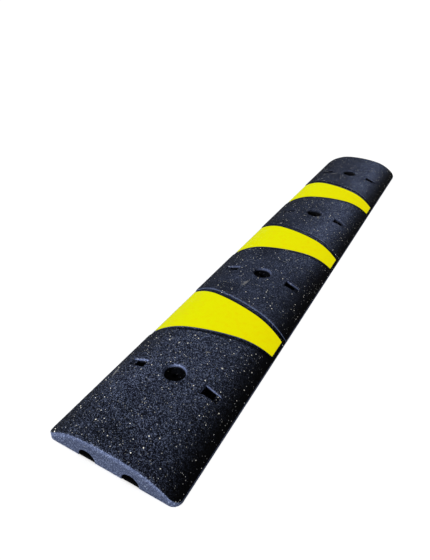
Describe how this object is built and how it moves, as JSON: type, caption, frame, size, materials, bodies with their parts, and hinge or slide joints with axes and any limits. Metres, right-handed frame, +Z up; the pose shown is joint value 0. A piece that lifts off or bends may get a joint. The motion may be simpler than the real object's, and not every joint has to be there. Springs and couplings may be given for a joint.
{
  "type": "speed bump",
  "caption": "Long arched rubber speed bump with wedge-shaped yellow bands, counterbored anchor holes, flank pockets and cable channels underneath.",
  "frame": {"origin": "centre of the flat underside, on the road", "axes": "+Z up, +Y along the bump's length, +X across it towards the narrow ends of the yellow bands"},
  "size_m": [0.3048, 1.8288, 0.0571],
  "materials": {
    "black_rubber": "rough crumb rubber, flecked with pale granules",
    "yellow_tape": "fine-beaded reflective sheeting"
  },
  "bodies": {
    "root": {"rubber_body": "black_rubber", "front_tape": "yellow_tape", "middle_tape": "yellow_tape", "rear_tape": "yellow_tape"}
  },
  "joints": []
}
